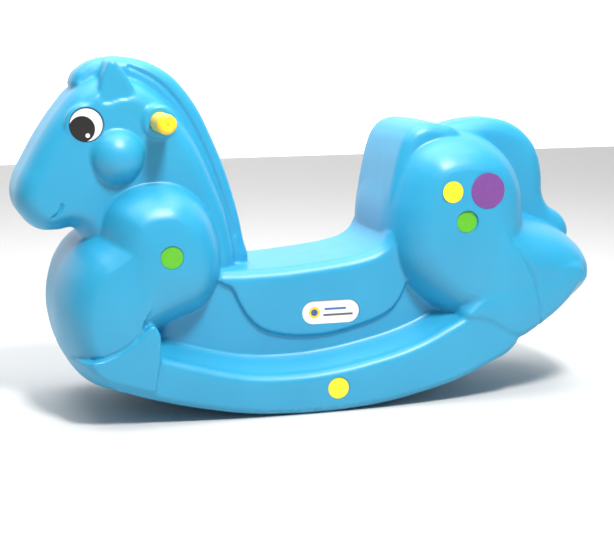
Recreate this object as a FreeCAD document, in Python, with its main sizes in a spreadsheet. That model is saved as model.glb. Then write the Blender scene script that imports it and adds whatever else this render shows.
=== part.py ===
# Rocking horse for a small child: one hollow blow-moulded shell, two push-in
# handle grips and the printed discs that sit in moulded recesses.
# Frame: millimetres, +Z up, nose towards -X, tail towards +X, the horse's left
# side towards -Y. The floor is Z = 0 and Y = 0 is the mould's parting plane.
import FreeCAD, Part
import math
import os
import Sketcher

from FreeCAD import Vector

doc = FreeCAD.newDocument("rocking_horse")
sheet = doc.addObject("Spreadsheet::Sheet", "sizes")

SIZES = {
    # whole horse
    "length": 860.0, "height": 506.0,
    # half widths of the relief levels, measured from the parting plane
    "hoof_half": 145.0, "limb_half": 142.0, "rocker_half": 137.0, "flap_half": 93.0,
    "seat_half": 86.0, "head_half": 74.0, "tail_half": 40.0, "mane_half": 32.0,
    # how far each edge is rounded in the side view
    "limb_round": 50.0, "hoof_round": 6.0, "rocker_round": 14.0, "flap_round": 7.0,
    "seat_round": 14.0, "head_round": 28.0, "tail_round": 26.0, "mane_round": 18.0,
    # moulding
    "wall": 3.5, "recess_depth": 1.8, "recess_gap": 1.0,
    # cheek and ear
    "cheek_radius": 39.0, "cheek_proud": 26.0, "ear_proud": 22.0,
    # handle
    "grip_radius": 14.0, "grip_reach": 52.0, "grip_end_round": 7.0, "grip_wall": 3.0,
    "boss_radius": 24.0, "boss_proud": 5.0, "turn_clearance": 0.4,
    "journal_step": 1.5, "shoulder_gap": 0.3,
    "spigot_radius": 9.0, "spigot_length": 24.0, "spigot_clearance": 0.2,
    # printed discs
    "print_thickness": 0.4, "small_dot_radius": 15.5, "large_dot_radius": 26.0,
    "eye_radius": 23.5, "label_length": 86.0, "label_height": 34.0,
}
for row, (alias, value) in enumerate(SIZES.items(), start=1):
    sheet.set("A%d" % row, alias)
    sheet.set("B%d" % row, str(value))
    sheet.setAlias("B%d" % row, alias)
doc.recompute()


def size(alias):
    return float(getattr(sheet, alias))


# Outlines are drawn for the standard horse and stretch with its length and height.
STANDARD_LENGTH = 860.0
STANDARD_HEIGHT = 506.0
stretch_x = size("length") / STANDARD_LENGTH
stretch_z = size("height") / STANDARD_HEIGHT


def place(x, z, y=0.0):
    return Vector(x * stretch_x, y, z * stretch_z)


# Side-view outlines (x, z), each a smooth closed loop.
HEAD = [(-300, 480), (-338, 464), (-364, 436), (-387, 404), (-408, 368), (-424, 336),
        (-427, 312), (-419, 290), (-398, 271), (-370, 268), (-348, 270), (-334, 254),
        (-322, 205), (-290, 160), (-230, 130), (-160, 150), (-122, 190), (-124, 261),
        (-148, 334), (-184, 406), (-234, 459), (-262, 474)]
MANE = [(-342, 464), (-340, 480), (-327, 493), (-308, 502), (-264, 505), (-214, 488),
        (-178, 454), (-141, 386), (-114, 313), (-93, 242), (-84, 208), (-110, 196),
        (-150, 260), (-190, 370), (-240, 430), (-300, 450)]
SHOULDER = [(-317, 282), (-308, 306), (-291, 322), (-266, 333), (-238, 337), (-210, 334),
            (-184, 320), (-162, 296), (-148, 262), (-142, 230), (-144, 196), (-157, 167),
            (-178, 148), (-204, 138), (-238, 122), (-266, 98), (-298, 92), (-322, 114),
            (-332, 150), (-333, 195), (-328, 232), (-321, 258)]
FRONT_LEG = [(-342, 249), (-362, 224), (-374, 193), (-379, 157), (-376, 127), (-368, 97),
             (-356, 72), (-338, 50), (-312, 33), (-284, 22), (-264, 24), (-251, 46),
             (-246, 80), (-243, 112), (-232, 138), (-206, 160), (-192, 194), (-195, 230),
             (-212, 262), (-240, 280), (-270, 284), (-300, 276), (-322, 262)]
FRONT_HOOF = [(-342, 98), (-322, 100), (-300, 110), (-278, 126), (-266, 141), (-257, 140),
              (-249, 126), (-247, 104), (-252, 82), (-266, 58), (-284, 42), (-312, 46),
              (-334, 66)]
SEAT = [(-100, 205), (-60, 206), (-20, 209), (20, 213), (60, 219), (86, 227), (101, 240),
        (107, 262), (110, 300), (116, 335), (124, 368), (134, 390), (152, 404), (182, 406),
        (215, 396), (250, 330), (270, 250), (250, 130), (180, 80), (60, 56), (-80, 56),
        (-200, 84), (-220, 150), (-180, 200)]
FLAP = [(-147, 190), (-134, 183), (-122, 160), (-107, 136), (-88, 120), (-62, 111),
        (-34, 107), (6, 107), (44, 114), (83, 125), (108, 138), (122, 156), (126, 175),
        (112, 210), (60, 205), (0, 197), (-60, 192), (-130, 197)]
HAUNCH = [(110, 196), (98, 235), (97, 280), (103, 310), (112, 338), (125, 360), (144, 378),
          (168, 388), (196, 393), (225, 393), (252, 387), (280, 372), (302, 348), (315, 320),
          (320, 296), (322, 266), (325, 232), (322, 190), (306, 150), (272, 122), (232, 110),
          (196, 116), (160, 140), (130, 168)]
REAR_LEG = [(316, 268), (348, 258), (380, 246), (408, 228), (426, 207), (433, 184),
            (430, 164), (416, 144), (392, 122), (360, 100), (326, 77), (290, 70), (250, 84),
            (210, 112), (180, 150), (164, 200), (168, 256), (190, 302), (226, 324),
            (262, 312), (290, 286)]
REAR_HOOF = [(298, 236), (312, 248), (334, 245), (366, 235), (394, 216), (410, 196),
             (415, 178), (408, 160), (390, 142), (362, 122), (342, 108), (328, 110),
             (329, 140), (322, 178), (312, 208)]
TAIL = [(170, 380), (200, 394), (232, 403), (262, 408), (292, 408), (324, 400), (350, 382),
        (368, 357), (377, 322), (380, 290), (390, 272), (408, 260), (420, 246), (424, 225),
        (405, 200), (330, 180), (250, 250), (200, 330)]

# The rocker: a circular runner below and a gentler curve for the foot ledge above.
RUNNER_FRONT = (-310, 56)
RUNNER_LOW = (-20, 0)
RUNNER_REAR = (312, 76)
LEDGE = [(-318, 128), (-249, 101), (-193, 83), (-107, 63), (-40, 62), (56, 73), (132, 93),
         (194, 122), (290, 170)]
SEAT_EDGE = 14.0        # how far the seat's flank rounds over

EAR = [(-314, 446), (-313, 476), (-304, 495), (-291, 503), (-279, 492), (-271, 474),
       (-268, 454), (-290, 449)]
CHEEK_PLACE = (-289, 371)
HANDLE_PLACE = (-230, 418)
SECTIONS = 4


def inset_points(points, distance):
    """The outline's points, each moved inwards square to the outline."""
    placed = [place(x, z) for x, z in points]
    count = len(placed)
    area = 0.0
    for i, here in enumerate(placed):
        after = placed[(i + 1) % count]
        area += here.x * after.z - after.x * here.z
    side = distance if area > 0.0 else -distance
    moved = []
    for i, here in enumerate(placed):
        along = (placed[(i + 1) % count] - placed[i - 1]).normalize()
        moved.append(here + Vector(-along.z, 0, along.x) * side)
    return moved


def section_wire(points, middle, reach, drawn_in, y):
    """The outline at one depth, drawn in towards its middle."""
    shrink_x = 1.0 - drawn_in / reach.x
    shrink_z = 1.0 - drawn_in / reach.z
    ring = []
    for point in points:
        x = middle.x + (point.x - middle.x) * shrink_x
        z = middle.z + (point.z - middle.z) * shrink_z
        ring.append(Vector(x, y, z))
    curve = Part.BSplineCurve()
    curve.interpolate(Points=ring, PeriodicFlag=True)
    return Part.Wire(curve.toShape())


def lobe_shape(points, half, flank, rounding, inset=0.0):
    """One swelling of the horse, the same on both sides of the parting plane.

    It stays straight out to flank, then rounds off elliptically up to half.
    """
    ring = inset_points(points, inset)
    xs = [point.x for point in ring]
    zs = [point.z for point in ring]
    middle = Vector((max(xs) + min(xs)) / 2, 0, (max(zs) + min(zs)) / 2)
    reach = Vector((max(xs) - min(xs)) / 2, 0, (max(zs) - min(zs)) / 2)
    start = flank - inset
    swell = half - inset - start
    steps = []
    for k in range(SECTIONS + 1):
        angle = math.radians(90.0 * k / SECTIONS)
        steps.append((start + swell * math.sin(angle), rounding * (1.0 - math.cos(angle))))
    wires = [section_wire(ring, middle, reach, a, -y) for y, a in reversed(steps)]
    wires += [section_wire(ring, middle, reach, a, y) for y, a in steps]
    return Part.makeLoft(wires, True, False)


FUSE_TOLERANCE = 0.02
BOSS_EDGE = 0.6         # share of the boss's height that its rim rounds off
CUTTER_REACH = 20.0     # how far a recess cutter runs past the flank
HIDDEN_FLANK = 30.0     # the limbs stay straight only near the parting plane


def rocker_shape(inset=0.0):
    """The runner and foot ledge: one broad bow between the front and rear hooves."""
    front, low, rear = [place(*spot) + Vector(0, 0, inset)
                        for spot in (RUNNER_FRONT, RUNNER_LOW, RUNNER_REAR)]
    top = [place(x, z) - Vector(0, 0, inset) for x, z in LEDGE]
    for corner in (front, top[0]):
        corner.x += inset
    for corner in (rear, top[-1]):
        corner.x -= inset
    ledge = Part.BSplineCurve()
    ledge.interpolate(top)
    edges = [Part.Arc(front, low, rear).toShape(), Part.LineSegment(rear, top[-1]).toShape(),
             ledge.toShape(), Part.LineSegment(top[0], front).toShape()]
    outline = Part.Wire(Part.__sortEdges__(edges))
    face = Part.Face(outline)
    half = size("rocker_half") - inset
    face.translate(Vector(0, -half, 0))
    slab = face.extrude(Vector(0, 2 * half, 0))
    rims = [edge for edge in slab.Edges
            if edge.BoundBox.YLength < 1.0 and edge.BoundBox.XLength > size("length") / 2]
    return slab.makeFillet(size("rocker_round") - inset, rims)


def ball_shape(side, inset=0.0):
    """The cheek: a cap of a ball standing proud of the side of the head."""
    base = size("cheek_radius")
    proud = size("cheek_proud")
    ball = (base ** 2 + proud ** 2) / (2 * proud)
    depth = size("head_half") + proud - ball
    return Part.makeSphere(ball - inset, place(*CHEEK_PLACE, y=side * depth))


def ear_shape(side, inset=0.0):
    """The ear: a petal whose flat face leans out towards its tip."""
    ring = inset_points(EAR, inset)
    foot = min(point.z for point in ring)
    rise = max(point.z for point in ring) - foot
    root = [Vector(p.x, side * size("mane_half") / 2, p.z) for p in ring]
    face = []
    for point in ring:
        lean = size("ear_proud") * (point.z - foot) / rise
        face.append(Vector(point.x, side * (size("head_half") - inset + lean), point.z))
    wires = []
    for points in (root, face):
        curve = Part.BSplineCurve()
        curve.interpolate(Points=points, PeriodicFlag=True)
        wires.append(Part.Wire(curve.toShape()))
    return Part.makeLoft(wires, True, True)


def boss_shape(side, inset=0.0):
    """The raised ring that the handle grip comes out of."""
    reach = size("head_half") + size("boss_proud") - inset
    boss = Part.makeCylinder(size("boss_radius") - inset, reach,
                             place(*HANDLE_PLACE), Vector(0, side, 0))
    rim = [edge for edge in boss.Edges
           if edge.BoundBox.YLength < 1e-3 and abs(edge.BoundBox.YMin) > reach / 2]
    return boss.makeFillet(size("boss_proud") * BOSS_EDGE, rim)


def solid_horse(inset=0.0):
    """Every swelling joined up; with an inset, the hollow inside the wall."""
    limb = size("limb_half")
    hoof = size("hoof_half")
    pieces = [
        lobe_shape(SEAT, size("seat_half"), size("seat_half") - SEAT_EDGE,
                   size("seat_round"), inset),
        lobe_shape(HEAD, size("head_half"), HIDDEN_FLANK, size("head_round"), inset),
        lobe_shape(SHOULDER, limb, HIDDEN_FLANK, size("limb_round"), inset),
        lobe_shape(FRONT_LEG, limb, HIDDEN_FLANK, size("limb_round"), inset),
        lobe_shape(HAUNCH, limb, HIDDEN_FLANK + SEAT_EDGE, size("limb_round"), inset),
        lobe_shape(REAR_LEG, limb, HIDDEN_FLANK, size("limb_round"), inset),
        lobe_shape(TAIL, size("tail_half"), size("tail_half") / 2, size("tail_round"), inset),
        lobe_shape(MANE, size("mane_half"), size("mane_half") / 3, size("mane_round"), inset),
        lobe_shape(FLAP, size("flap_half"), size("seat_half") - SEAT_EDGE,
                   size("flap_round"), inset),
        lobe_shape(FRONT_HOOF, hoof, hoof - 3 * size("hoof_round"), size("hoof_round"), inset),
        lobe_shape(REAR_HOOF, hoof, hoof - 3 * size("hoof_round"), size("hoof_round"), inset),
        rocker_shape(inset),
    ]
    for side in (-1, 1):
        pieces.append(ball_shape(side, inset))
        pieces.append(ear_shape(side, inset))
        pieces.append(boss_shape(side, inset))
    whole = pieces[0].multiFuse(pieces[1:], FUSE_TOLERANCE)
    if len(whole.Solids) != 1:
        raise RuntimeError("the horse came out in %d pieces" % len(whole.Solids))
    return whole.Solids[0]


def feature(name, shape):
    """A document object that holds a freeform shape."""
    item = doc.addObject("Part::Feature", name)
    item.Shape = shape
    return item


def bound(item, **links):
    """Tie an object's properties to the cells of the sheet."""
    for name, formula in links.items():
        item.setExpression(name, formula)
    return item


def facing(side):
    """Turns +Z towards the horse's left (side -1) or right (side 1)."""
    return FreeCAD.Rotation(Vector(1, 0, 0), -90.0 * side)


def cylinder(name, where, side, radius, height):
    """A round bar or cutter along Y whose sizes are formulas of the sheet."""
    item = bound(doc.addObject("Part::Cylinder", name), Radius=radius, Height=height)
    item.Placement = FreeCAD.Placement(where, facing(side))
    return item


def joined(kind, name, *items):
    """A union or a difference of document objects."""
    item = doc.addObject(kind, name)
    item.Refine = False
    if kind == "Part::Cut":
        item.Base, item.Tool = items
    else:
        item.Shapes = list(items)
    return item


# ---- printed discs -------------------------------------------------------
# Each print: side-view place, the half width it sits on, its outline and size.
PRINTS = {
    "eye_print": ((-331, 416), "head_half", "round", "eye_radius"),
    "label": ((14, 139), "flap_half", "pill", "label_length"),
    "shoulder_dot_green": ((-229, 238), "limb_half", "round", "small_dot_radius"),
    "rocker_dot_yellow": ((12, 36), "rocker_half", "round", "small_dot_radius"),
    "haunch_dot_yellow": ((182, 313), "limb_half", "round", "small_dot_radius"),
    "haunch_dot_purple": ((236, 313), "limb_half", "round", "large_dot_radius"),
    "haunch_dot_green": ((204, 269), "limb_half", "round", "small_dot_radius"),
}
SIDES = {"left": -1, "right": 1}


def print_outline(sketch, style, measure):
    """A circle or a pill on the sketch's origin, its size tied to the sheet."""
    if style == "round":
        circle = Part.Circle(Vector(0, 0, 0), Vector(0, 0, 1), size(measure))
        sketch.addGeometry(circle, False)
        sketch.addConstraint(Sketcher.Constraint("Coincident", 0, 3, -1, 1))
        sketch.addConstraint(Sketcher.Constraint("Radius", 0, size(measure)))
        sketch.setExpression("Constraints[1]", "sizes." + measure)
        return
    bow = size("label_height") / 2
    run = size("label_length") / 2 - bow
    up = Vector(0, 0, 1)
    sketch.addGeometry([
        Part.LineSegment(Vector(-run, bow, 0), Vector(run, bow, 0)),
        Part.ArcOfCircle(Part.Circle(Vector(run, 0, 0), up, bow), -math.pi / 2, math.pi / 2),
        Part.LineSegment(Vector(run, -bow, 0), Vector(-run, -bow, 0)),
        Part.ArcOfCircle(Part.Circle(Vector(-run, 0, 0), up, bow), math.pi / 2, 3 * math.pi / 2),
    ], False)
    for joint in (("Tangent", 0, 2, 1, 2), ("Tangent", 1, 1, 2, 1),
                  ("Tangent", 2, 2, 3, 2), ("Tangent", 3, 1, 0, 1),
                  ("Horizontal", 0), ("Symmetric", 1, 3, 3, 3, -1, 1)):
        sketch.addConstraint(Sketcher.Constraint(*joint))
    height_rule = sketch.addConstraint(Sketcher.Constraint("Radius", 1, bow))
    length_rule = sketch.addConstraint(Sketcher.Constraint("DistanceX", 3, 3, 1, 3, 2 * run))
    sketch.setExpression("Constraints[%d]" % height_rule, "sizes.label_height / 2")
    sketch.setExpression("Constraints[%d]" % length_rule,
                         "sizes.label_length - sizes.label_height")


def recess_shape(style, measure, where, side, floor):
    """The moulded pocket that a print sits in, cut from the flank inwards."""
    depth = size("recess_depth") + CUTTER_REACH
    gap = size("recess_gap")
    if style == "round":
        return Part.makeCylinder(size(measure) + gap, depth, Vector(where.x, floor, where.z),
                                 Vector(0, side, 0))
    bow = size("label_height") / 2 + gap
    run = size("label_length") / 2 - size("label_height") / 2
    ends = [Part.makeCylinder(bow, depth, Vector(where.x + x, floor, where.z),
                              Vector(0, side, 0)) for x in (-run, run)]
    low = min(floor, floor + side * depth)
    bar = Part.makeBox(2 * run, depth, 2 * bow, Vector(where.x - run, low, where.z - bow))
    return bar.multiFuse(ends).removeSplitter()


nodes = []
recesses = []
for print_name, (spot, level, style, measure) in PRINTS.items():
    for side_name, side in SIDES.items():
        where = place(*spot)
        floor = side * (size(level) - size("recess_depth"))
        recesses.append(recess_shape(style, measure, where, side, floor))
        body = doc.addObject("PartDesign::Body", print_name + "_" + side_name)
        sketch = body.newObject("Sketcher::SketchObject", "outline_" + body.Name)
        plane = [f for f in body.Origin.OriginFeatures if f.Role == "XZ_Plane"][0]
        sketch.AttachmentSupport = [(plane, "")]
        sketch.MapMode = "FlatFace"
        print_outline(sketch, style, measure)
        pad = body.newObject("PartDesign::Pad", "sheet_" + body.Name)
        pad.Profile = sketch
        bound(pad, Length="sizes.print_thickness")
        pad.Reversed = side > 0
        body.Placement = FreeCAD.Placement(Vector(where.x, floor, where.z),
                                           FreeCAD.Rotation())
        body.Label = print_name + "_" + side_name
        nodes.append(body)

# ---- handle: two closed grips that push in from the sides -----------------
# The grip's shoulder runs just clear of the boss, and a thinner journal turns in
# the hole. Left and right meet inside the neck on a spigot.
bar_axis = place(*HANDLE_PLACE)
boss_face = "(sizes.head_half + sizes.boss_proud)"
journal_radius = "(sizes.grip_radius - sizes.journal_step)"
for side_name, side in SIDES.items():
    tag = "_" + side_name
    bar = cylinder("grip_bar" + tag, bar_axis, side, "sizes.grip_radius",
                   "sizes.grip_reach - sizes.shoulder_gap")
    shoulder = size("head_half") + size("boss_proud") + size("shoulder_gap")
    bar.Placement.Base = bar_axis + Vector(0, side * shoulder, 0)
    doc.recompute()
    tip = max(range(len(bar.Shape.Edges)),
              key=lambda i: side * bar.Shape.Edges[i].BoundBox.Center.y
              if bar.Shape.Edges[i].BoundBox.YLength < 1e-3 else -1e9) + 1
    dome = doc.addObject("Part::Fillet", "grip_dome" + tag)
    dome.Base = bar
    dome.Edges = [(tip, size("grip_end_round"), size("grip_end_round"))]
    journal = cylinder("grip_journal" + tag, bar_axis, side, journal_radius,
                       boss_face + " + sizes.shoulder_gap + sizes.grip_wall")
    solid = joined("Part::MultiFuse", "grip_solid" + tag, dome, journal)
    if side < 0:
        bore = cylinder("grip_bore" + tag, bar_axis, side, journal_radius + " - sizes.grip_wall",
                        boss_face + " + sizes.grip_reach - 2 * sizes.grip_wall")
        bore.Placement.Base = bar_axis + Vector(0, side * size("grip_wall"), 0)
        hollow = joined("Part::Cut", "grip_hollow" + tag, solid, bore)
        spigot = cylinder("grip_spigot" + tag, bar_axis, -side, "sizes.spigot_radius",
                          "sizes.spigot_length")
        grip = joined("Part::MultiFuse", "handle" + tag, hollow, spigot)
    else:
        bore = cylinder("grip_bore" + tag, bar_axis, side,
                        "sizes.spigot_radius + sizes.spigot_clearance",
                        boss_face + " + sizes.grip_reach - sizes.grip_wall")
        grip = joined("Part::Cut", "handle" + tag, solid, bore)
    grip.Label = "handle" + tag
    nodes.append(grip)

# ---- the moulded shell ----------------------------------------------------
skin = solid_horse()
hollow = solid_horse(size("wall"))
shell = feature("moulded_shell", skin.cut(hollow).Solids[0])
if shell.Shape.Volume > skin.Volume - hollow.Volume * 0.99:
    raise RuntimeError("the shell is not hollow")
pockets = feature("print_recesses", Part.makeCompound(recesses))
recessed = joined("Part::Cut", "recessed_shell", shell, pockets)
handle_hole = cylinder("handle_hole", bar_axis, 1, journal_radius + " + sizes.turn_clearance",
                       "2 * (" + boss_face + " + sizes.grip_reach)")
grip_end = size("head_half") + size("boss_proud") + size("grip_reach")
handle_hole.Placement.Base = bar_axis - Vector(0, grip_end, 0)
body_shell = joined("Part::Cut", "body_shell", recessed, handle_hole)
body_shell.Label = "body_shell"
nodes.append(body_shell)

doc.recompute()
faults = [item.Name for item in doc.Objects if {"Invalid", "Error"} & set(item.State)]
if faults:
    raise RuntimeError("objects that failed: " + ", ".join(faults))
for node in nodes:
    if node.Shape.isNull() or not node.Shape.isValid() or not node.Shape.Solids:
        raise RuntimeError("not a valid solid: " + node.Label)

os.makedirs("parts", exist_ok=True)
for node in nodes:
    node.Shape.exportStep("parts/%s.step" % node.Label)
    print(node.Label, len(node.Shape.Solids), round(node.Shape.Volume / 1000.0, 2), "cm3")
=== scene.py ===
import math
import bpy
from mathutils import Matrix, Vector


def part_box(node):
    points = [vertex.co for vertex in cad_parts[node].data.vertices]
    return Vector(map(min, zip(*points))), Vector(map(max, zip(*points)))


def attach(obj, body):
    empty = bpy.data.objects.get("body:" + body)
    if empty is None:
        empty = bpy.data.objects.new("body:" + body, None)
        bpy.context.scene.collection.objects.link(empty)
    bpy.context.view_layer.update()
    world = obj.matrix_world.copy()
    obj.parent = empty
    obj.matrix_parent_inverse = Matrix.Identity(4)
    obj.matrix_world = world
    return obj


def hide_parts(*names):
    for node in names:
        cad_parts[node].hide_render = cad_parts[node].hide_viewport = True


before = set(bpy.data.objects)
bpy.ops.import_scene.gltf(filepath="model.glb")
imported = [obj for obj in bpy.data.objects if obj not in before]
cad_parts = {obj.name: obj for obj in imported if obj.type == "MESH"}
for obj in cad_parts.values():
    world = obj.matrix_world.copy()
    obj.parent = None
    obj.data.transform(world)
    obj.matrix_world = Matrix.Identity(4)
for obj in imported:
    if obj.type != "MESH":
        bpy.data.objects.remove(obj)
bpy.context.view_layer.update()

# ---- View, floor and lights ---------------------------------------------------
# The horse stands on a pale studio floor. It is seen from its left front, a little
# from above, under one broad high lamp in front and a soft lamp overhead.
SHELL_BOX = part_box("body_shell")
SIZE = SHELL_BOX[1] - SHELL_BOX[0]

VIEW_TURN = math.radians(-17)
VIEW_RISE = math.radians(10)
VIEW_DISTANCE = 2.25
VIEW_AIM = Vector((0.006, 0, 0.189))
camera_data = bpy.data.cameras.new("view")
camera_data.sensor_width = 36
camera_data.lens = 87.95
camera = bpy.data.objects.new("view", camera_data)
bpy.context.scene.collection.objects.link(camera)
look = Vector((-math.sin(VIEW_TURN) * math.cos(VIEW_RISE),
               math.cos(VIEW_TURN) * math.cos(VIEW_RISE), -math.sin(VIEW_RISE)))
camera.location = VIEW_AIM - look * VIEW_DISTANCE
camera.rotation_euler = look.to_track_quat("-Z", "Y").to_euler()
bpy.context.scene.camera = camera
bpy.context.scene.view_settings.view_transform = "Standard"

bpy.ops.object.select_all(action="DESELECT")
bpy.ops.mesh.primitive_plane_add(size=16, location=(0, 0, 0))
floor = bpy.context.object
floor.name = "studio_floor"
floor_paint = bpy.data.materials.new("pale_floor")
floor_paint.use_nodes = True
floor_surface = floor_paint.node_tree.nodes["Principled BSDF"]
floor_surface.inputs["Base Color"].default_value = (0.62, 0.62, 0.62, 1)
floor_surface.inputs["Roughness"].default_value = 0.95
floor.data.materials.append(floor_paint)

# A lit white backdrop, as in a product studio.
bpy.ops.object.select_all(action="DESELECT")
bpy.ops.mesh.primitive_plane_add(size=14, location=(1.2, 3.4, 4.5),
                                 rotation=(math.pi / 2, 0, 0))
backdrop = bpy.context.object
backdrop.name = "studio_backdrop"
backdrop_paint = bpy.data.materials.new("lit_backdrop")
backdrop_paint.use_nodes = True
backdrop_surface = backdrop_paint.node_tree.nodes["Principled BSDF"]
backdrop_surface.inputs["Emission Color"].default_value = (1.0, 1.0, 1.0, 1)
backdrop_surface.inputs["Emission Strength"].default_value = 0.9
backdrop.data.materials.append(backdrop_paint)

world = bpy.data.worlds.new("studio")
world.use_nodes = True
world.node_tree.nodes["Background"].inputs["Color"].default_value = (1.0, 1.0, 1.0, 1)
world.node_tree.nodes["Background"].inputs["Strength"].default_value = 0.22
bpy.context.scene.world = world

# name, place, aim, side of the square lamp, watts, colour
LAMPS = [
    ("key", (0.1, -1.55, 2.35), (0, 0, 0.2), 0.45, 84, (1.0, 0.98, 0.94)),
    ("overhead", (-0.1, 0.1, 2.2), (0, 0, 0.2), 2.2, 58, (0.96, 0.99, 1.0)),
]
for name, place, aim, side, watts, colour in LAMPS:
    lamp_data = bpy.data.lights.new(name, "AREA")
    lamp_data.size = side
    lamp_data.energy = watts
    lamp_data.color = colour
    lamp = bpy.data.objects.new(name, lamp_data)
    lamp.location = place
    lamp.rotation_euler = (Vector(aim) - lamp.location).to_track_quat("-Z", "Y").to_euler()
    bpy.context.scene.collection.objects.link(lamp)

# ---- The moulded shell --------------------------------------------------------
# One hollow blow-moulded polyethylene body: every swelling, from the muzzle to the
# runner, is part of the same skin. It is built as overlapping swellings on both sides
# of the mould's parting plane, then melted into one surface.
MM = 0.001
STRETCH_X = SIZE.x / 0.8617
STRETCH_Z = SIZE.z / 0.5063


def on_side(x, z, y=0.0):
    """A side-view place in millimetres on the standard horse, in metres here."""
    return Vector((x * MM * STRETCH_X, y * MM, z * MM * STRETCH_Z))


def only(*pieces):
    """Select these objects and nothing else; the first is the active one."""
    bpy.ops.object.select_all(action="DESELECT")
    for piece in pieces:
        piece.select_set(True)
    bpy.context.view_layer.objects.active = pieces[0]


def finish_with(piece, kind, **settings):
    """Add a modifier and apply it at once."""
    only(piece)
    modifier = piece.modifiers.new(kind.lower(), kind)
    for key, value in settings.items():
        setattr(modifier, key, value)
    bpy.ops.object.modifier_apply(modifier=modifier.name)


def edit(piece, select="SELECT"):
    """Open a piece for editing with all of it, or none, selected."""
    only(piece)
    bpy.ops.object.mode_set(mode="EDIT")
    bpy.ops.mesh.select_all(action=select)


def close():
    """Leave edit mode, which also writes the selection to the mesh."""
    bpy.ops.object.mode_set(mode="OBJECT")


def smooth_ring(points, name, steps=6):
    """A soft closed curve through side-view points, turned into a ring of edges."""
    bpy.ops.object.select_all(action="DESELECT")
    bpy.ops.curve.primitive_bezier_circle_add(location=(0, 0, 0))
    ring = bpy.context.object
    ring.name = name
    ring.data.dimensions = "3D"
    ring.data.resolution_u = steps
    spline = ring.data.splines[0]
    spline.bezier_points.add(len(points) - len(spline.bezier_points))
    for knot, spot in zip(spline.bezier_points, points):
        knot.co = on_side(*spot)
        knot.handle_left_type = knot.handle_right_type = "AUTO"
    bpy.ops.object.convert(target="MESH")
    return ring


def both_sides(piece):
    """Mirror a half through the parting plane and turn all its faces outwards."""
    finish_with(piece, "MIRROR", use_axis=(False, True, False), use_clip=True,
                merge_threshold=0.0002)
    edit(piece)
    bpy.ops.mesh.normals_make_consistent(inside=False)
    close()
    return piece


def swelling(name, points, half, flank, rounding, crown=0, rows=10, steps=6):
    """A swelling of the shell, straight out to flank, then rounded off up to half.

    The rounding is drawn in square to the outline by the given distance. A crown
    is how much of the height the side face keeps for its own gentle dome.
    """
    piece = smooth_ring(points, name, steps)
    edit(piece)
    bpy.ops.mesh.extrude_edges_move(TRANSFORM_OT_translate={"value": (0, -flank * MM, 0)})
    bpy.ops.mesh.edge_face_add()
    close()
    cap = max(piece.data.polygons, key=lambda face: len(face.vertices))
    outward = -1 if cap.normal.y > 0 else 1
    middle = cap.center.copy()
    only(piece)
    bpy.ops.object.mode_set(mode="EDIT")
    last = math.radians(80 if crown else 90)
    climb = (half - crown - flank) * MM / math.sin(last)
    reach = rounding * MM / (1 - math.cos(last))
    for row in range(rows):
        now, after = (last * k / rows for k in (row, row + 1))
        bpy.ops.mesh.inset(thickness=reach * (math.cos(now) - math.cos(after)),
                           depth=outward * climb * (math.sin(after) - math.sin(now)),
                           use_even_offset=False)
    shrink = 1.0
    for k in range(1, 8 if crown else 1):
        smaller = 1 - k / 8
        bpy.ops.mesh.inset(thickness=0.0002, depth=0, use_even_offset=False)
        bpy.ops.transform.resize(value=(smaller / shrink, 1, smaller / shrink),
                                 center_override=middle)
        bpy.ops.transform.translate(value=(0, -crown * MM * (shrink ** 2 - smaller ** 2), 0))
        shrink = smaller
    close()
    return both_sides(piece)


def only_where(piece, name, points, deep):
    """Keep only the part of a piece that lies inside an outline on its side face."""
    region = swelling(name, points, deep, deep - 2, 1, rows=1)
    finish_with(piece, "BOOLEAN", operation="INTERSECT", object=region, solver="EXACT",
                use_self=True)
    bpy.data.objects.remove(region, do_unlink=True)
    return piece


# Side-view outlines (x, z) in millimetres, each a soft closed loop.
HEAD = [(-300, 480), (-338, 464), (-364, 436), (-387, 404), (-408, 368), (-424, 336),
        (-427, 312), (-419, 290), (-398, 271), (-370, 268), (-348, 270), (-334, 254),
        (-322, 205), (-290, 160), (-230, 130), (-160, 150), (-122, 190), (-124, 261),
        (-148, 334), (-184, 406), (-234, 459), (-262, 474)]
MANE = [(-342, 464), (-340, 480), (-327, 493), (-308, 502), (-264, 505), (-214, 488),
        (-178, 454), (-141, 386), (-114, 313), (-97, 242), (-92, 204), (-112, 192),
        (-150, 260), (-190, 370), (-240, 430), (-300, 450)]
SHOULDER = [(-317, 282), (-308, 306), (-291, 322), (-266, 333), (-238, 337), (-210, 334),
            (-184, 320), (-162, 296), (-148, 262), (-142, 230), (-144, 196), (-157, 167),
            (-178, 148), (-204, 138), (-238, 122), (-266, 98), (-298, 92), (-322, 114),
            (-332, 150), (-333, 195), (-328, 232), (-321, 258)]
FRONT_LEG = [(-342, 249), (-362, 224), (-374, 193), (-379, 157), (-376, 127), (-368, 99),
             (-356, 77), (-338, 58), (-314, 45), (-288, 40), (-266, 44), (-253, 60),
             (-247, 86), (-243, 112), (-232, 138), (-206, 160), (-192, 194), (-195, 230),
             (-212, 262), (-240, 280), (-270, 284), (-300, 276), (-322, 262)]
HOOF_BODY = [(-342, 249), (-362, 224), (-374, 193), (-379, 157), (-376, 127), (-368, 99),
             (-357, 76), (-336, 55), (-300, 41), (-269, 31), (-230, 22), (-190, 20),
             (-150, 70), (-150, 210), (-212, 262), (-270, 284), (-322, 262)]
FRONT_HOOF = [(-344, 98), (-322, 101), (-300, 110), (-278, 126), (-266, 139), (-257, 145),
              (-249, 138), (-246, 122), (-247, 98), (-252, 70), (-262, 30), (-300, 10),
              (-350, 20), (-372, 70), (-362, 94)]
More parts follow.
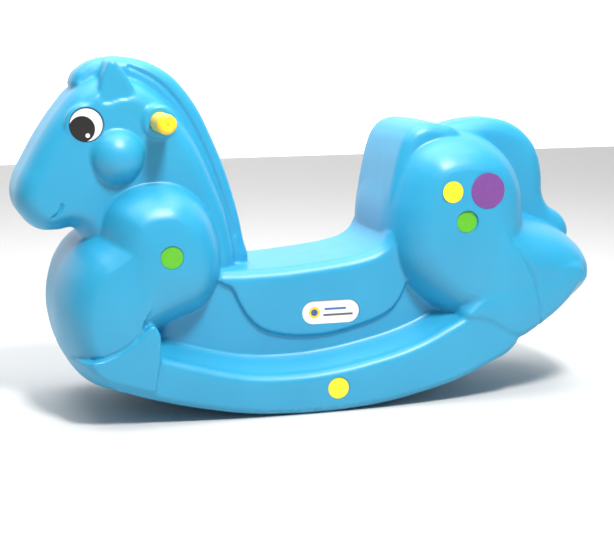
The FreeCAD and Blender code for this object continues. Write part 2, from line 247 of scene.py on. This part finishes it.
SEAT = [(-100, 205), (-60, 206), (-20, 209), (20, 213), (60, 219), (86, 227), (101, 240),
        (107, 262), (110, 300), (116, 335), (124, 368), (134, 390), (152, 404), (182, 406),
        (215, 396), (250, 330), (270, 250), (250, 130), (180, 80), (60, 56), (-80, 56),
        (-200, 70), (-240, 110), (-220, 170), (-180, 200)]
FLAP = [(-147, 190), (-134, 183), (-122, 160), (-107, 136), (-88, 120), (-62, 111),
        (-34, 107), (6, 107), (44, 114), (83, 125), (108, 138), (122, 156), (132, 180),
        (150, 230), (100, 250), (40, 240), (-40, 230), (-120, 225), (-160, 210)]
HAUNCH = [(112, 196), (104, 235), (105, 280), (111, 310), (119, 338), (130, 360), (147, 378),
          (168, 388), (196, 393), (225, 393), (252, 387), (280, 372), (302, 348), (315, 320),
          (320, 296), (322, 266), (325, 232), (322, 190), (306, 150), (272, 122), (232, 110),
          (196, 116), (160, 140), (130, 168)]
REAR_SOLE = [(201, 127), (240, 111), (290, 87), (303, 89), (318, 97), (340, 111),
             (366, 131), (388, 155), (401, 178), (398, 197), (370, 208), (310, 200),
             (250, 172), (215, 150)]
REAR_LEG = [(316, 268), (348, 258), (380, 246), (408, 228), (426, 207), (433, 184),
            (430, 164), (417, 146), (394, 127), (362, 107), (330, 90), (296, 82),
            (256, 94), (210, 112), (180, 150), (164, 200), (168, 256), (190, 302),
            (226, 324), (262, 312), (290, 286)]
TAIL = [(170, 380), (200, 394), (232, 403), (262, 408), (292, 408), (324, 400), (350, 382),
        (368, 357), (377, 322), (380, 290), (390, 272), (408, 260), (420, 246), (424, 225),
        (405, 200), (330, 180), (250, 250), (200, 330)]
ROCKER = [(-312, 58), (-290, 48), (-240, 32), (-180, 17), (-120, 6), (-60, 1), (-20, 0),
          (20, 1), (80, 6), (140, 17), (200, 33), (250, 54), (288, 76), (298, 98),
          (284, 160), (250, 150), (194, 122), (132, 93), (56, 73), (0, 64), (-40, 61),
          (-107, 63), (-150, 71), (-193, 83), (-249, 101), (-318, 128)]

swellings = [
    swelling("seat_core", SEAT, 86, 68, 18),
    swelling("head", HEAD, 74, 30, 30),
    swelling("shoulder", SHOULDER, 144, 30, 46, crown=6),
    swelling("front_leg", FRONT_LEG, 142, 30, 40, crown=5),
    only_where(swelling("front_hoof", HOOF_BODY, 144, 34, 24, crown=2),
               "hoof_region", FRONT_HOOF, 170),
    swelling("haunch", HAUNCH, 144, 40, 50, crown=7),
    swelling("rear_leg", REAR_LEG, 142, 30, 46, crown=5),
    swelling("rear_sole", REAR_SOLE, 142, 110, 14, crown=2),
    swelling("tail", TAIL, 40, 14, 26),
    swelling("mane", MANE, 32, 12, 16),
    only_where(swelling("flap", SEAT, 93, 75, 18), "flap_region", FLAP, 120),
]

# The rocker: its foot ledge rises towards the seat and meets it in a broad fillet.
# The ledge is all of the outline above a line that climbs towards both ends.
LEDGE_ACROSS = [(82, 24), (88, 17), (94, 13), (102, 9.5), (122, 0)]
LEDGE_FROM, LEDGE_CLIMB = 0.045, 0.13
SIDE_ROUNDING, SIDE_STEP, ROUNDING_ROWS = 12, 15, 6
rocker = smooth_ring(ROCKER, "rocker")
runner = [v.co.z < (LEDGE_FROM + LEDGE_CLIMB * abs(v.co.x)) for v in rocker.data.vertices]
edit(rocker, "DESELECT")
close()
for vertex, below in zip(rocker.data.vertices, runner):
    vertex.select = not below
bpy.ops.object.mode_set(mode="EDIT")
bpy.ops.transform.translate(value=(0, 0, LEDGE_ACROSS[0][1] * MM))
bpy.ops.mesh.select_all(action="SELECT")
out, lift = 0, LEDGE_ACROSS[0][1]
for reach, height in LEDGE_ACROSS:
    bpy.ops.mesh.extrude_edges_move(TRANSFORM_OT_translate={"value": (0, (out - reach) * MM, 0)})
    bpy.ops.mesh.select_all(action="DESELECT")
    close()
    outermost = min(v.co.y for v in rocker.data.vertices)
    for vertex in rocker.data.vertices:
        vertex.select = (vertex.co.y < outermost + 1e-5
                         and vertex.co.z > LEDGE_FROM + LEDGE_CLIMB * abs(vertex.co.x))
    bpy.ops.object.mode_set(mode="EDIT")
    bpy.ops.transform.translate(value=(0, 0, (height - lift) * MM))
    bpy.ops.mesh.select_all(action="DESELECT")
    close()
    for vertex in rocker.data.vertices:
        vertex.select = vertex.co.y < outermost + 1e-5
    bpy.ops.object.mode_set(mode="EDIT")
    out, lift = reach, height
bpy.ops.mesh.edge_face_add()
close()
cap = max(rocker.data.polygons, key=lambda face: len(face.vertices))
outward = -1 if cap.normal.y > 0 else 1
bpy.ops.object.mode_set(mode="EDIT")
for row in range(ROUNDING_ROWS):
    now, after = (math.pi / 2 * k / ROUNDING_ROWS for k in (row, row + 1))
    bpy.ops.mesh.inset(thickness=SIDE_ROUNDING * MM * (math.cos(now) - math.cos(after)),
                       depth=outward * SIDE_STEP * MM * (math.sin(after) - math.sin(now)),
                       use_even_offset=False)
close()
swellings.append(both_sides(rocker))

# Cheeks: a ball cap on each side of the head.
CHEEK = on_side(-289, 371)
CHEEK_RADIUS, CHEEK_OUT = 0.0403, 0.0594
for side in (-1, 1):
    bpy.ops.object.select_all(action="DESELECT")
    bpy.ops.mesh.primitive_uv_sphere_add(segments=64, ring_count=32, radius=CHEEK_RADIUS,
                                         location=(CHEEK.x, side * CHEEK_OUT, CHEEK.z))
    swellings.append(bpy.context.object)

# Bosses round the handle holes.
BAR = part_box("handle_left")
BAR_AXIS = Vector(((BAR[0].x + BAR[1].x) / 2, 0, (BAR[0].z + BAR[1].z) / 2))
BOSS_RADIUS, BOSS_FACE = 0.024, 0.079
for side in (-1, 1):
    bpy.ops.object.select_all(action="DESELECT")
    bpy.ops.mesh.primitive_cylinder_add(vertices=96, radius=BOSS_RADIUS, depth=BOSS_FACE,
                                        location=(BAR_AXIS.x, side * BOSS_FACE / 2, BAR_AXIS.z),
                                        rotation=(math.pi / 2, 0, 0))
    boss = bpy.context.object
    finish_with(boss, "BEVEL", width=0.004, segments=5, limit_method="ANGLE")
    swellings.append(boss)

# Ears: upright leaves. Each is let into the side of the head at its root, so a small
# lit step runs under it, and stands clear of the head's rounding at its tip.
EAR = [(-311, 448), (-312, 460), (-310, 474), (-303, 491), (-293, 503), (-282, 494),
       (-270, 477), (-264, 462), (-265, 454), (-287, 447), (-305, 443)]
ear_cut = swelling("ear_cut", EAR, 120, 118, 1, rows=1)
head = swellings[1]
finish_with(head, "BOOLEAN", operation="DIFFERENCE", object=ear_cut, solver="EXACT")
bpy.data.objects.remove(ear_cut, do_unlink=True)
swellings.append(swelling("ear", EAR, 71, 66, 4, rows=5))

# A low flat round the eye, where its print is let in.
eye_low, eye_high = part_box("eye_print_left")
EYE = (eye_low + eye_high) / 2
EYE_R = (eye_high.x - eye_low.x) / 2
bpy.ops.object.select_all(action="DESELECT")
EYE_FLAT_RIM, EYE_FLAT_ACROSS = 0.006, 0.1484
bpy.ops.mesh.primitive_cylinder_add(vertices=96, radius=EYE_R + EYE_FLAT_RIM,
                                    depth=EYE_FLAT_ACROSS,
                                    location=(EYE.x, 0, EYE.z),
                                    rotation=(math.pi / 2, 0, 0))
plateau = bpy.context.object
finish_with(plateau, "BEVEL", width=0.0045, segments=6, limit_method="ANGLE")
swellings.append(plateau)

only(*swellings)
bpy.ops.object.join()
shell = bpy.context.object
shell.name = "horse_shell"
bpy.ops.object.transform_apply(location=True, rotation=True, scale=True)
finish_with(shell, "REMESH", mode="VOXEL", voxel_size=0.0024)
finish_with(shell, "SMOOTH", factor=0.5, iterations=5)


def distance_to_line(x, z, line):
    """How far a side-view place lies from a line of points."""
    best = 1.0
    for (ax, az), (bx, bz) in zip(line, line[1:]):
        run_x, run_z = bx - ax, bz - az
        share = ((x - ax) * run_x + (z - az) * run_z) / (run_x ** 2 + run_z ** 2)
        share = min(1.0, max(0.0, share))
        best = min(best, math.hypot(x - ax - share * run_x, z - az - share * run_z))
    return best


def sculpt_line(points, width, depth, inner=0.0):
    """Press a rounded groove into the skin along a line.

    Only the skin further than inner from the parting plane takes part.
    """
    line = [(on_side(x, z).x, on_side(x, z).z) for x, z in points]
    for _ in range(3):
        soft = [line[0]]
        for (ax, az), (bx, bz) in zip(line, line[1:]):
            soft += [(ax * 0.75 + bx * 0.25, az * 0.75 + bz * 0.25),
                     (ax * 0.25 + bx * 0.75, az * 0.25 + bz * 0.75)]
        line = soft + [line[-1]]
    margin = 2 * width * MM
    low_x, high_x = min(p[0] for p in line) - margin, max(p[0] for p in line) + margin
    low_z, high_z = min(p[1] for p in line) - margin, max(p[1] for p in line) + margin
    for pressing in (False, True):
        steps = (1.0, 0.75, 0.5, 0.25) if pressing else (1.5,)
        edit(shell, "DESELECT")
        close()
        near = {}
        for vertex in shell.data.vertices:
            spot = vertex.co
            if (low_x < spot.x < high_x and low_z < spot.z < high_z
                    and abs(spot.y) > inner * MM):
                near[vertex.index] = distance_to_line(spot.x, spot.z, line)
        for share in steps:
            edit(shell, "DESELECT")
            close()
            for index, gap in near.items():
                shell.data.vertices[index].select = gap < share * width * MM
            bpy.ops.object.mode_set(mode="EDIT")
            if pressing:
                bpy.ops.transform.shrink_fatten(value=-depth * MM / len(steps))
            else:
                bpy.ops.mesh.subdivide(number_cuts=1)
            close()


# The creases over the front and rear hooves, the mouth, and the mane's long flute.
sculpt_line([(-340, 101), (-322, 104), (-301, 113), (-281, 127), (-269, 139)], 2.6, 1.5, 60)
sculpt_line([(278, 234), (292, 219), (304, 201), (314, 180), (320, 160), (325, 135),
             (327, 102)], 3.0, 2.0, 60)
sculpt_line([(-379, 290), (-374, 293), (-369, 299), (-367, 307)], 3.0, 3.0, 40)
sculpt_line([(-262, 492), (-224, 474), (-190, 438), (-160, 384), (-134, 316), (-114, 250)],
            4.2, 1.9, 4)

finish_with(shell, "SMOOTH", factor=0.4, iterations=1)
finish_with(shell, "DECIMATE", ratio=0.36)

# Moulded pockets for the prints, and the hole that the grip bar turns in.
cutters = []
PRINT_GAP, POCKET_FLARE, CUTTER_LENGTH = 0.9, 2.4, 12
for name in ("eye_print", "shoulder_dot_green", "rocker_dot_yellow", "haunch_dot_yellow",
             "haunch_dot_purple", "haunch_dot_green"):
    for side_name, side in (("left", -1), ("right", 1)):
        low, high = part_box(name + "_" + side_name)
        floor_y = min(abs(low.y), abs(high.y))
        radius = (high.x - low.x) / 2 + PRINT_GAP * MM
        bpy.ops.object.select_all(action="DESELECT")
        bpy.ops.mesh.primitive_cone_add(
            vertices=72, radius1=radius, radius2=radius + POCKET_FLARE * MM,
            depth=CUTTER_LENGTH * MM,
            location=((low.x + high.x) / 2, side * (floor_y + CUTTER_LENGTH / 2 * MM),
                      (low.z + high.z) / 2),
            rotation=(math.radians(-90 * side), 0, 0))
        cutters.append(bpy.context.object)
for side_name, side in (("left", -1), ("right", 1)):
    low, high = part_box("label_" + side_name)
    floor_y = min(abs(low.y), abs(high.y))
    size = high - low + Vector((2, 0, 2)) * PRINT_GAP * MM
    bpy.ops.object.select_all(action="DESELECT")
    bpy.ops.mesh.primitive_cylinder_add(
        vertices=64, radius=size.z / 2, depth=CUTTER_LENGTH * MM,
        location=((low.x + high.x) / 2, side * (floor_y + CUTTER_LENGTH / 2 * MM),
                  (low.z + high.z) / 2),
        rotation=(math.pi / 2, 0, 0))
    pill = bpy.context.object
    bpy.ops.object.transform_apply(location=True, rotation=True, scale=True)
    for end in (-1, 1):
        edit(pill, "DESELECT")
        close()
        for vertex in pill.data.vertices:
            vertex.select = end * (vertex.co.x - (low.x + high.x) / 2) > 0.0001
        bpy.ops.object.mode_set(mode="EDIT")
        bpy.ops.transform.translate(value=(end * (size.x - size.z) / 2, 0, 0))
        close()
    cutters.append(pill)
bpy.ops.object.select_all(action="DESELECT")
BAR_HOLE_RADIUS = 12.9
bpy.ops.mesh.primitive_cylinder_add(vertices=72, radius=BAR_HOLE_RADIUS * MM, depth=0.3,
                                    location=BAR_AXIS, rotation=(math.pi / 2, 0, 0))
cutters.append(bpy.context.object)
only(*cutters)
bpy.ops.object.join()
pockets = bpy.context.object
bpy.ops.object.transform_apply(location=True, rotation=True, scale=True)
finish_with(shell, "BOOLEAN", operation="DIFFERENCE", object=pockets, solver="EXACT")
bpy.data.objects.remove(pockets, do_unlink=True)
only(shell)
bpy.ops.object.shade_smooth_by_angle(angle=math.radians(48))

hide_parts("body_shell")
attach(shell, "horse")


class Value:
    """A shader socket that ordinary arithmetic works on."""

    def __init__(self, tree, socket):
        self.tree, self.socket = tree, socket

    def node(self, kind, settings=None, **sockets):
        """Add a node, set it up, feed its sockets and return it."""
        made = self.tree.nodes.new(kind)
        for key, value in (settings or {}).items():
            setattr(made, key, value)
        for key, value in sockets.items():
            target = made.inputs[int(key[1:]) if key[1:].isdigit() else key.replace("_", " ")]
            if isinstance(value, Value):
                self.tree.links.new(value.socket, target)
            else:
                target.default_value = value
        return made

    def math(self, operation, a, b=0.0):
        made = self.node("ShaderNodeMath", {"operation": operation}, i0=a, i1=b)
        return Value(self.tree, made.outputs[0])

    def __add__(self, other):
        return self.math("ADD", self, other)

    __radd__ = __add__

    def __sub__(self, other):
        return self.math("SUBTRACT", self, other)

    def __rsub__(self, other):
        return self.math("SUBTRACT", other, self)

    def __mul__(self, other):
        return self.math("MULTIPLY", self, other)

    __rmul__ = __mul__

    def __abs__(self):
        return self.math("ABSOLUTE", self)

    def within(self, edge, soft):
        """1 where this is below the edge, falling to 0 over a soft width."""
        made = self.node("ShaderNodeMapRange", {"interpolation_type": "SMOOTHSTEP"},
                         Value=self, From_Min=edge - soft / 2, From_Max=edge + soft / 2,
                         To_Min=1.0, To_Max=0.0)
        return Value(self.tree, made.outputs[0])


def plastic_like(name):
    """A new material, its surface node and the place on the piece as x, y, z."""
    material = bpy.data.materials.new(name)
    material.use_nodes = True
    tree = material.node_tree
    surface = tree.nodes["Principled BSDF"]
    place = tree.nodes.new("ShaderNodeTexCoord").outputs["Object"]
    here = Value(tree, place)
    split = here.node("ShaderNodeSeparateXYZ", Vector=here)
    x, y, z = (Value(tree, split.outputs[k]) for k in range(3))
    return material, tree, surface, here, (x, y, z)


def mixed(here, share, first, second):
    """One colour turning into another by a share between 0 and 1."""
    made = here.node("ShaderNodeMix", {"data_type": "RGBA"}, Factor=share, i6=first, i7=second)
    return Value(here.tree, made.outputs[2])


def grain(here, scale, detail=2.0, roughness=0.5):
    """A noise pattern fixed to the piece, from 0 to 1."""
    made = here.node("ShaderNodeTexNoise", Vector=here, Scale=scale, Detail=detail,
                     Roughness=roughness)
    return Value(here.tree, made.outputs["Fac"])


def bumped(here, surface, height, distance):
    """Turn a height into the surface's fine relief, in metres."""
    bump = here.node("ShaderNodeBump", Height=height, Distance=distance, Strength=1.0)
    here.tree.links.new(bump.outputs[0], surface.inputs["Normal"])


# The sky-blue polyethylene: coloured right through, satin from the mould's fine
# blasted face, with slow waves in the wall and the flash line at the parting plane.
blue, tree, surface, here, (x, y, z) = plastic_like("sky_blue_polyethylene")
waves = grain(here, 7.0, 2.0)
stipple = grain(here, 900.0, 2.0, 0.6)
flow = grain(here, 40.0, 3.0)
scuffs = grain(here, 160.0, 4.0, 0.7)
BLUE_THIN, BLUE_THICK = (0.026, 0.335, 0.565, 1), (0.018, 0.285, 0.50, 1)
BLUE_SCUFFED = (0.10, 0.45, 0.68, 1)
colour = mixed(here, waves * 1.6 - 0.3, BLUE_THICK, BLUE_THIN)
sole = z.within(0.010 * STRETCH_Z, 0.014)
worn = sole * scuffs.within(0.50, 0.12)
colour = mixed(here, worn * 0.55, colour, BLUE_SCUFFED)
tree.links.new(colour.socket, surface.inputs["Base Color"])
surface.inputs["Specular IOR Level"].default_value = 0.6
dull = 0.34 + flow * 0.08 + stipple * 0.04 + worn * 0.2
tree.links.new(dull.socket, surface.inputs["Roughness"])
flash = abs(y).within(0.0007, 0.0006)
bumped(here, surface, stipple * 0.10 + flow * 0.35 + waves * 1.2 + flash * 0.5, 0.0006)
shell.data.materials.clear()
shell.data.materials.append(blue)

# ---- The grips ----------------------------------------------------------------
# Two closed yellow grips, injection moulded, pushed in from the sides until their
# shoulders run close to the bosses. Each tip keeps the small mark of its gate.
yellow, tree, surface, here, (x, y, z) = plastic_like("yellow_grip")
run, rise = x - BAR_AXIS.x, z - BAR_AXIS.z
across = here.math("SQRT", run * run + rise * rise)
mottle = grain(here, 60.0, 3.0)
fine = grain(here, 1100.0, 2.0)
colour = mixed(here, mottle, (0.93, 0.60, 0.012, 1), (0.97, 0.70, 0.03, 1))
gate = across.within(0.0016, 0.0008)
colour = mixed(here, gate * 0.6, colour, (0.62, 0.33, 0.01, 1))
tree.links.new(colour.socket, surface.inputs["Base Color"])
tree.links.new((0.27 + mottle * 0.1).socket, surface.inputs["Roughness"])
bumped(here, surface, fine * 0.12 + mottle * 0.3 - gate, 0.0005)
for node in ("handle_left", "handle_right"):
    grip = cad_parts[node]
    grip.data.materials.clear()
    grip.data.materials.append(yellow)

# ---- The eyes -----------------------------------------------------------------
# Printed film discs in moulded pockets: a black rim, a white ball, a black pupil
# that looks ahead and down, and a small white glint.
eye, tree, surface, here, (x, y, z) = plastic_like("printed_eye")


def from_spot(here, x, z, spot_x, spot_z):
    """How far a place on the print lies from a spot."""
    run, rise = x - spot_x, z - spot_z
    return here.math("SQRT", run * run + rise * rise)


# Radii and shifts are shares of the eye's own radius.
WHITE_SHARE, PUPIL_SHARE, GLINT_SHARE = 0.955, 0.77, 0.13
PUPIL_SHIFT, GLINT_SHIFT = (-0.257, -0.246), (0.075, -0.62)
rim = from_spot(here, x, z, EYE.x, EYE.z)
pupil = from_spot(here, x, z, EYE.x + PUPIL_SHIFT[0] * EYE_R, EYE.z + PUPIL_SHIFT[1] * EYE_R)
glint = from_spot(here, x, z, EYE.x + GLINT_SHIFT[0] * EYE_R, EYE.z + GLINT_SHIFT[1] * EYE_R)
specks = grain(here, 500.0, 2.0)
white = mixed(here, specks, (0.80, 0.80, 0.78, 1), (0.88, 0.88, 0.87, 1))
black = mixed(here, specks, (0.012, 0.011, 0.011, 1), (0.022, 0.020, 0.020, 1))
SOFT = 0.0006
dark = here.math("MAXIMUM", 1 - rim.within(EYE_R * WHITE_SHARE, SOFT),
                 pupil.within(EYE_R * PUPIL_SHARE, SOFT))
colour = mixed(here, dark, white, black)
colour = mixed(here, glint.within(EYE_R * GLINT_SHARE, SOFT), colour, white)
tree.links.new(colour.socket, surface.inputs["Base Color"])
tree.links.new((0.26 + specks * 0.1).socket, surface.inputs["Roughness"])
bumped(here, surface, specks, 0.00006)
for node in ("eye_print_left", "eye_print_right"):
    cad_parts[node].data.materials.clear()
    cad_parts[node].data.materials.append(eye)

# ---- The coloured dots ----------------------------------------------------------
# Round film discs in yellow, green and purple, each lying in its moulded pocket.
DOTS = {
    "yellow": ((0.90, 0.74, 0.015, 1), (0.96, 0.82, 0.03, 1),
               ("rocker_dot_yellow", "haunch_dot_yellow")),
    "green": ((0.085, 0.42, 0.012, 1), (0.13, 0.52, 0.02, 1),
              ("shoulder_dot_green", "haunch_dot_green")),
    "purple": ((0.155, 0.045, 0.24, 1), (0.21, 0.065, 0.30, 1), ("haunch_dot_purple",)),
}
for colour_name, (deep, light, names) in DOTS.items():
    dot, tree, surface, here, (x, y, z) = plastic_like(colour_name + "_film")
    mottle = grain(here, 240.0, 3.0)
    tree.links.new(mixed(here, mottle, deep, light).socket, surface.inputs["Base Color"])
    tree.links.new((0.28 + mottle * 0.12).socket, surface.inputs["Roughness"])
    bumped(here, surface, mottle, 0.00012)
    for name in names:
        for side_name in ("_left", "_right"):
            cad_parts[name + side_name].data.materials.clear()
            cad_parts[name + side_name].data.materials.append(dot)

# ---- The labels -----------------------------------------------------------------
# A white printed film with a plain device on each flank: a ringed dot and two bars.
low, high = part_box("label_left")
LABEL = (low + high) / 2
LABEL_SIZE = high - low
RING_RADIUS, SPOT_RADIUS, BAR_HALF, INK_EDGE = 0.0085, 0.0050, 0.0016, 0.0005
film, tree, surface, here, (x, y, z) = plastic_like("label_film")
specks = grain(here, 420.0, 2.0)
colour = mixed(here, specks, (0.78, 0.78, 0.75, 1), (0.86, 0.86, 0.84, 1))
mark = from_spot(here, x, z, LABEL.x - 0.29 * LABEL_SIZE.x, LABEL.z)
colour = mixed(here, mark.within(RING_RADIUS, INK_EDGE), colour, (0.86, 0.55, 0.03, 1))
colour = mixed(here, mark.within(SPOT_RADIUS, INK_EDGE), colour, (0.04, 0.10, 0.26, 1))
for rise, half_run, shift, ink in ((0.13, 0.19, 0.08, (0.03, 0.12, 0.38, 1)),
                                   (-0.13, 0.26, 0.13, (0.10, 0.10, 0.11, 1))):
    bar = (abs(x - (LABEL.x + shift * LABEL_SIZE.x)).within(half_run * LABEL_SIZE.x, INK_EDGE)
           * abs(z - (LABEL.z + rise * LABEL_SIZE.z)).within(BAR_HALF, INK_EDGE))
    colour = mixed(here, bar, colour, ink)
tree.links.new(colour.socket, surface.inputs["Base Color"])
tree.links.new((0.28 + specks * 0.1).socket, surface.inputs["Roughness"])
bumped(here, surface, specks, 0.00006)
for node in ("label_left", "label_right"):
    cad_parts[node].data.materials.clear()
    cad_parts[node].data.materials.append(film)
